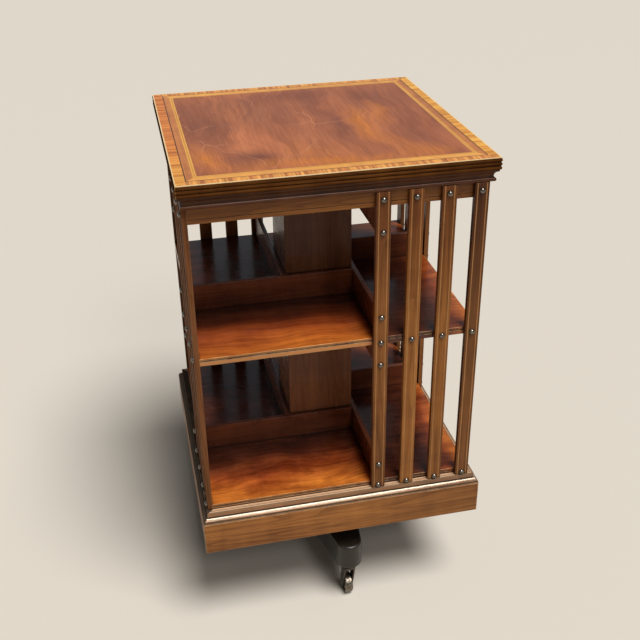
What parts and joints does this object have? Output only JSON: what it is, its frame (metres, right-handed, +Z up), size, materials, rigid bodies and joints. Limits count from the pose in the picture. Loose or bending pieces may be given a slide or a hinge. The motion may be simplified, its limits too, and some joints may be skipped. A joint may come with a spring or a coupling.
{
  "type": "revolving bookcase",
  "caption": "Square two-tier revolving bookcase in inlaid mahogany, with slatted open sides round a central column, turning on a post above a cross base with castors.",
  "frame": {"origin": "on the floor, under the turning axis", "axes": "+Z up along the turning axis, -Y towards the front face as pictured, +X to its right"},
  "size_m": [0.508, 0.508, 0.878],
  "materials": {
    "mahogany": "dark polished mahogany",
    "shelf_mahogany": "polished mahogany, warmer and lighter on the shelves",
    "figured_mahogany": "figured mahogany veneer, polished",
    "satinwood": "cross-grained satinwood veneer, polished",
    "boxwood": "pale boxwood stringing, polished",
    "ebonised_wood": "ebonised gloss",
    "plain_hardwood": "plain sawn and turned hardwood, unpolished",
    "bronzed_studs": "dark bronzed metal, polished on the domes",
    "castor_metal": "dark iron, worn",
    "wheel_metal": "worn bare metal",
    "steel": "plain steel",
    "brass": "turned brass"
  },
  "bodies": {
    "base": {"base_arm_lower": "ebonised_wood", "base_arm_upper": "ebonised_wood", "post": "plain_hardwood", "post_flange": "castor_metal", "flange_screws": "steel", "pivot_pin": "steel", "castor_sockets": "brass"},
    "castor_front": {"castor_fork_front": "castor_metal", "castor_axle_front": "steel"},
    "wheel_front": {"castor_wheel_front": "wheel_metal"},
    "castor_right": {"castor_fork_right": "castor_metal", "castor_axle_right": "steel"},
    "wheel_right": {"castor_wheel_right": "wheel_metal"},
    "castor_back": {"castor_fork_back": "castor_metal", "castor_axle_back": "steel"},
    "wheel_back": {"castor_wheel_back": "wheel_metal"},
    "castor_left": {"castor_fork_left": "castor_metal", "castor_axle_left": "steel"},
    "wheel_left": {"castor_wheel_left": "wheel_metal"},
    "case": {"plinth_boards": "mahogany", "plinth_moulding": "mahogany", "plinth_bearers": "plain_hardwood", "bottom_board": "shelf_mahogany", "lower_bush": "brass", "middle_shelf": "shelf_mahogany", "column_lower": "mahogany", "column_upper": "mahogany", "low_rails_lower": "mahogany", "low_rails_upper": "mahogany", "high_rails_lower": "mahogany", "high_rails_upper": "mahogany", "frieze_rails": "mahogany", "slat_lines": "boxwood", "slat_studs": "bronzed_studs", "cornice_moulding": "mahogany", "top_board": "plain_hardwood", "top_lipping": "mahogany", "top_boxwood_lines": "boxwood", "top_crossbanding": "satinwood", "top_inner_band": "figured_mahogany", "top_chequer_line": "boxwood", "top_panel": "figured_mahogany", "pivot_plate": "castor_metal", "pivot_screws": "steel", "slat_front_1": "mahogany", "slat_front_2": "mahogany", "slat_front_3": "mahogany", "slat_front_4": "mahogany", "slat_right_1": "mahogany", "slat_right_2": "mahogany", "slat_right_3": "mahogany", "slat_right_4": "mahogany", "slat_back_1": "mahogany", "slat_back_2": "mahogany", "slat_back_3": "mahogany", "slat_back_4": "mahogany", "slat_left_1": "mahogany", "slat_left_2": "mahogany", "slat_left_3": "mahogany", "slat_left_4": "mahogany"}
  },
  "joints": [
    {"name": "case_turn", "type": "hinge", "parent": "base", "child": "case", "pos_m": [0, 0, 0.824], "axis": [0, 0, 1], "continuous": true},
    {"name": "castor_swivel_front", "type": "hinge", "parent": "base", "child": "castor_front", "pos_m": [0.01413, -0.22456, 0.0839], "axis": [0, 0, 1], "continuous": true},
    {"name": "wheel_roll_front", "type": "hinge", "parent": "castor_front", "child": "wheel_front", "pos_m": [0.01337, -0.21258, 0.02], "axis": [0.998, 0.0628, 0], "continuous": true},
    {"name": "castor_swivel_right", "type": "hinge", "parent": "base", "child": "castor_right", "pos_m": [0.22456, 0.01413, 0.0839], "axis": [0, 0, 1], "continuous": true},
    {"name": "wheel_roll_right", "type": "hinge", "parent": "castor_right", "child": "wheel_right", "pos_m": [0.21258, 0.01337, 0.02], "axis": [-0.0628, 0.998, 0], "continuous": true},
    {"name": "castor_swivel_back", "type": "hinge", "parent": "base", "child": "castor_back", "pos_m": [-0.01413, 0.22456, 0.0839], "axis": [0, 0, 1], "continuous": true},
    {"name": "wheel_roll_back", "type": "hinge", "parent": "castor_back", "child": "wheel_back", "pos_m": [-0.01337, 0.21258, 0.02], "axis": [-0.998, -0.0628, 0], "continuous": true},
    {"name": "castor_swivel_left", "type": "hinge", "parent": "base", "child": "castor_left", "pos_m": [-0.22456, -0.01413, 0.0839], "axis": [0, 0, 1], "continuous": true},
    {"name": "wheel_roll_left", "type": "hinge", "parent": "castor_left", "child": "wheel_left", "pos_m": [-0.21258, -0.01337, 0.02], "axis": [0.0628, -0.998, 0], "continuous": true}
  ]
}
